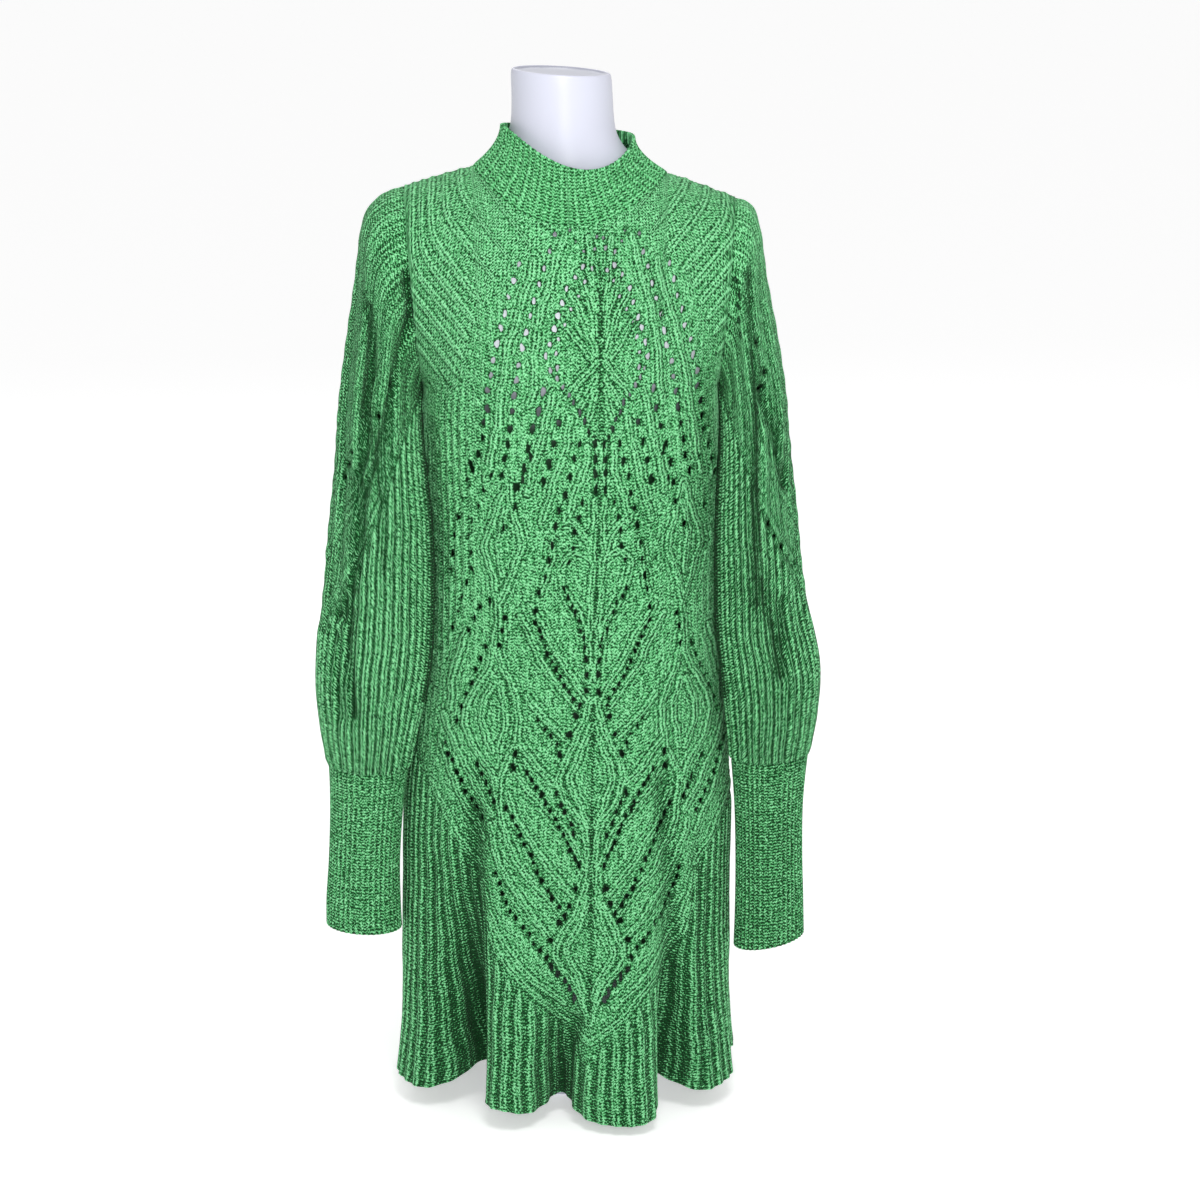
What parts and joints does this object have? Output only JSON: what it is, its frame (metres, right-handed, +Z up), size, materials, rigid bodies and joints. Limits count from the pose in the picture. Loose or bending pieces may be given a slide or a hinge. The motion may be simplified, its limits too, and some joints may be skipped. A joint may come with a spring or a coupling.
{
  "type": "knit dress on dress form",
  "caption": "Long-sleeved openwork knit mini dress with a mock neck, cuffed balloon sleeves and a fluted hem, worn by a smooth limbless dress form.",
  "frame": {"origin": "middle of the dress form's flat underside", "axes": "+Z up; the front of the dress faces -Y; +X is the wearer's left"},
  "size_m": [0.4663, 0.2911, 0.9807],
  "materials": {
    "front": "matt boucle knit",
    "back": "matt boucle knit",
    "collar": "matt boucle knit",
    "sleeve_right": "matt boucle knit",
    "sleeve_left": "matt boucle knit",
    "cuff_right": "matt boucle knit",
    "cuff_left": "matt boucle knit",
    "dress_form": "satin white"
  },
  "bodies": {
    "root": {"front": "front", "back": "back", "collar": "collar", "sleeve_right": "sleeve_right", "sleeve_left": "sleeve_left", "cuff_right": "cuff_right", "cuff_left": "cuff_left", "dress_form": "dress_form"}
  },
  "joints": []
}
